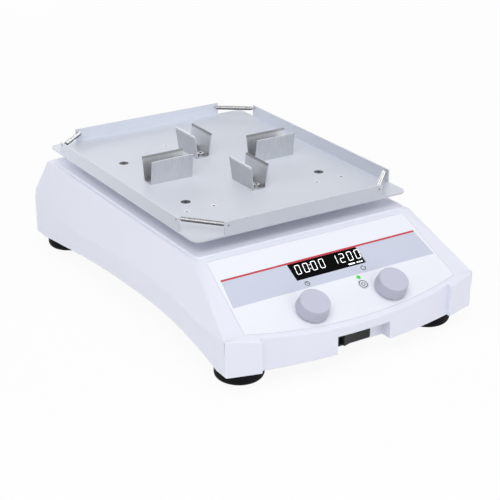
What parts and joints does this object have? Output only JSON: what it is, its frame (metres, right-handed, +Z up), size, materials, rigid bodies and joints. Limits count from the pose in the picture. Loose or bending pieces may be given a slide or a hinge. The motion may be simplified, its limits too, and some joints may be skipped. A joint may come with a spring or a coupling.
{
  "type": "orbital shaker",
  "caption": "Bench orbital shaker with a sloped control front, knobs, a display and a belt-driven tray that clamps microplates between channel clips and corner springs.",
  "frame": {"origin": "on the bench, under the middle of the whole part", "axes": "+Z up, +Y to the rear, away from the control front, +X to the right of someone facing the front"},
  "size_m": [0.267, 0.41, 0.132],
  "materials": {
    "housing": "satin moulded plastic, cool white",
    "overlay": "satin printed sheet, cool white",
    "display": "glossy black window",
    "board": "green circuit board",
    "black_plastic": "black moulded plastic",
    "lamp": "green lamp lens",
    "button": "satin white cap",
    "knob": "matt pale grey",
    "pan": "powder-coated steel sheet",
    "rubber": "matt black rubber",
    "fastener": "bright plated steel",
    "black_screw": "black oxide steel",
    "alloy": "machined alloy",
    "bearing": "ground steel",
    "iron": "machined iron",
    "bush": "sintered bronze",
    "tray": "pale grey coated sheet",
    "clip": "brushed stainless sheet",
    "spring": "bright spring wire"
  },
  "bodies": {
    "base": {"housing_shell": "housing", "panel_overlay": "overlay", "display_window": "display", "display_module": "black_plastic", "control_board": "board", "left_encoder": "black_plastic", "right_encoder": "black_plastic", "standby_switch": "black_plastic", "led_lens": "lamp", "base_pan": "pan", "pan_screws": "fastener", "front_left_foot": "rubber", "front_right_foot": "rubber", "rear_left_foot": "rubber", "rear_right_foot": "rubber", "foot_screws": "fastener", "drive_block": "alloy", "drive_bearings": "bearing", "frame_screws": "fastener", "idler_posts": "alloy", "idler_bearings": "bearing", "motor_case": "alloy", "motor_screws": "fastener", "drive_belt": "rubber", "power_supply": "board", "power_inlet": "black_plastic", "inlet_screws": "fastener", "switch_body": "black_plastic", "dust_seals": "rubber"},
    "drive": {"drive_shaft": "bearing", "drive_pulley": "iron", "counterweight": "iron"},
    "platform": {"carrier_plate": "alloy", "hub_bearing": "bearing", "carrier_bushes": "bush", "tray": "tray", "tray_screws": "black_screw", "front_clip": "clip", "rear_clip": "clip", "left_clip": "clip", "right_clip": "clip", "clip_screws": "fastener", "front_left_spring": "spring", "front_right_spring": "spring", "rear_left_spring": "spring", "rear_right_spring": "spring"},
    "idler_front_left": {"front_left_crank": "bearing"},
    "idler_front_right": {"front_right_crank": "bearing"},
    "idler_rear_left": {"rear_left_crank": "bearing"},
    "idler_rear_right": {"rear_right_crank": "bearing"},
    "rotor": {"motor_rotor": "iron", "motor_pulley": "iron"},
    "left_push": {"left_plunger": "bearing"},
    "left_turn": {"left_knob": "knob"},
    "right_push": {"right_plunger": "bearing"},
    "right_turn": {"right_knob": "knob"},
    "standby": {"standby_button": "button"},
    "rocker": {"power_rocker": "black_plastic"},
    "fuse": {"fuse_drawer": "black_plastic"}
  },
  "joints": [
    {"name": "drive_spin", "type": "hinge", "parent": "base", "child": "drive", "pos_m": [0, 0.0405, 0.05], "axis": [0, 0, 1], "continuous": true},
    {"name": "tray_orbit", "type": "hinge", "parent": "drive", "child": "platform", "pos_m": [0.0015, 0.0405, 0.101], "axis": [0, 0, 1], "continuous": true},
    {"name": "idler_front_left_spin", "type": "hinge", "parent": "base", "child": "idler_front_left", "pos_m": [-0.055, -0.0175, 0.07], "axis": [0, 0, 1], "continuous": true},
    {"name": "idler_front_right_spin", "type": "hinge", "parent": "base", "child": "idler_front_right", "pos_m": [0.055, -0.0175, 0.07], "axis": [0, 0, 1], "continuous": true},
    {"name": "idler_rear_left_spin", "type": "hinge", "parent": "base", "child": "idler_rear_left", "pos_m": [-0.055, 0.0985, 0.07], "axis": [0, 0, 1], "continuous": true},
    {"name": "idler_rear_right_spin", "type": "hinge", "parent": "base", "child": "idler_rear_right", "pos_m": [0.055, 0.0985, 0.07], "axis": [0, 0, 1], "continuous": true},
    {"name": "motor_spin", "type": "hinge", "parent": "base", "child": "rotor", "pos_m": [0, -0.0595, 0.05], "axis": [0, 0, 1], "continuous": true},
    {"name": "left_knob_push", "type": "slide", "parent": "base", "child": "left_push", "axis": [0, 0.4695, -0.8829], "range_m": [0, 0.0005], "stiffness_N_per_m": 6000},
    {"name": "left_knob_turn", "type": "hinge", "parent": "left_push", "child": "left_turn", "pos_m": [-0.0423, -0.18269, 0.05468], "axis": [0, -0.4695, 0.8829], "continuous": true},
    {"name": "right_knob_push", "type": "slide", "parent": "base", "child": "right_push", "axis": [0, 0.4695, -0.8829], "range_m": [0, 0.0005], "stiffness_N_per_m": 6000},
    {"name": "right_knob_turn", "type": "hinge", "parent": "right_push", "child": "right_turn", "pos_m": [0.0423, -0.18269, 0.05468], "axis": [0, -0.4695, 0.8829], "continuous": true},
    {"name": "standby_press", "type": "slide", "parent": "base", "child": "standby", "axis": [0, 0.4695, -0.8829], "range_m": [0, 0.0003], "stiffness_N_per_m": 6000},
    {"name": "power_rock", "type": "hinge", "parent": "base", "child": "rocker", "pos_m": [-0.0055, -0.193, 0.0263], "axis": [0, 0, -1], "range_deg": [0, 16]},
    {"name": "fuse_slide", "type": "slide", "parent": "base", "child": "fuse", "axis": [0, 1, 0], "range_m": [0, 0.016]}
  ],
  "couplings": [
    {"joint": "tray_orbit", "follows": "drive_spin", "ratio": -1},
    {"joint": "idler_front_left_spin", "follows": "drive_spin", "ratio": 1},
    {"joint": "idler_front_right_spin", "follows": "drive_spin", "ratio": 1},
    {"joint": "idler_rear_left_spin", "follows": "drive_spin", "ratio": 1},
    {"joint": "idler_rear_right_spin", "follows": "drive_spin", "ratio": 1},
    {"joint": "motor_spin", "follows": "drive_spin", "ratio": 2.8571}
  ]
}
